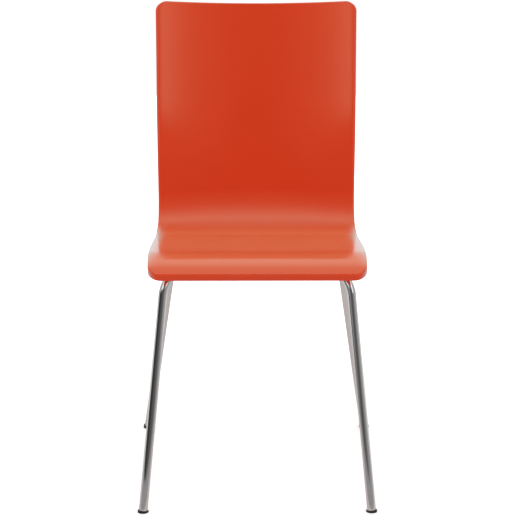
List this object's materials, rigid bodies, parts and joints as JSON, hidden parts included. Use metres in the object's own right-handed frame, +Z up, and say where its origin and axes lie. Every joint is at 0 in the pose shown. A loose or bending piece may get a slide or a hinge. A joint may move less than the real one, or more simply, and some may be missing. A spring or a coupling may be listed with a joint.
{
  "type": "stacking chair",
  "caption": "Stacking chair: a one-piece bent-plywood seat and back, lacquered orange, bolted to two bent chromed tubes that make four splayed legs with black plastic feet.",
  "frame": {"origin": "on the floor, under the middle of the chair's box", "axes": "+Z up, +Y towards the back of the chair, +X towards the right-hand side as seen from the front; X is the narrowest way across and the chair is alike on both sides of X = 0"},
  "size_m": [0.4742, 0.4995, 0.8871],
  "materials": {
    "lacquered_plywood": "satin orange lacquer",
    "chromed_tube": "polished",
    "chromed_plate": "polished",
    "fibre_gasket": "matte",
    "zinc_steel": "satin",
    "pad_plastic": "matte",
    "foot_plastic": "satin"
  },
  "bodies": {
    "root": {"seat_shell": "lacquered_plywood", "front_leg_tube": "chromed_tube", "rear_leg_tube": "chromed_tube", "mounting_plate": "chromed_plate", "plate_gasket": "fibre_gasket", "frame_welds": "chromed_plate", "threaded_inserts": "zinc_steel", "shell_bolts": "zinc_steel", "washers": "zinc_steel", "front_left_pad": "pad_plastic", "front_right_pad": "pad_plastic", "rear_left_pad": "pad_plastic", "rear_right_pad": "pad_plastic", "front_left_foot": "foot_plastic", "front_right_foot": "foot_plastic", "rear_left_foot": "foot_plastic", "rear_right_foot": "foot_plastic"}
  },
  "joints": []
}
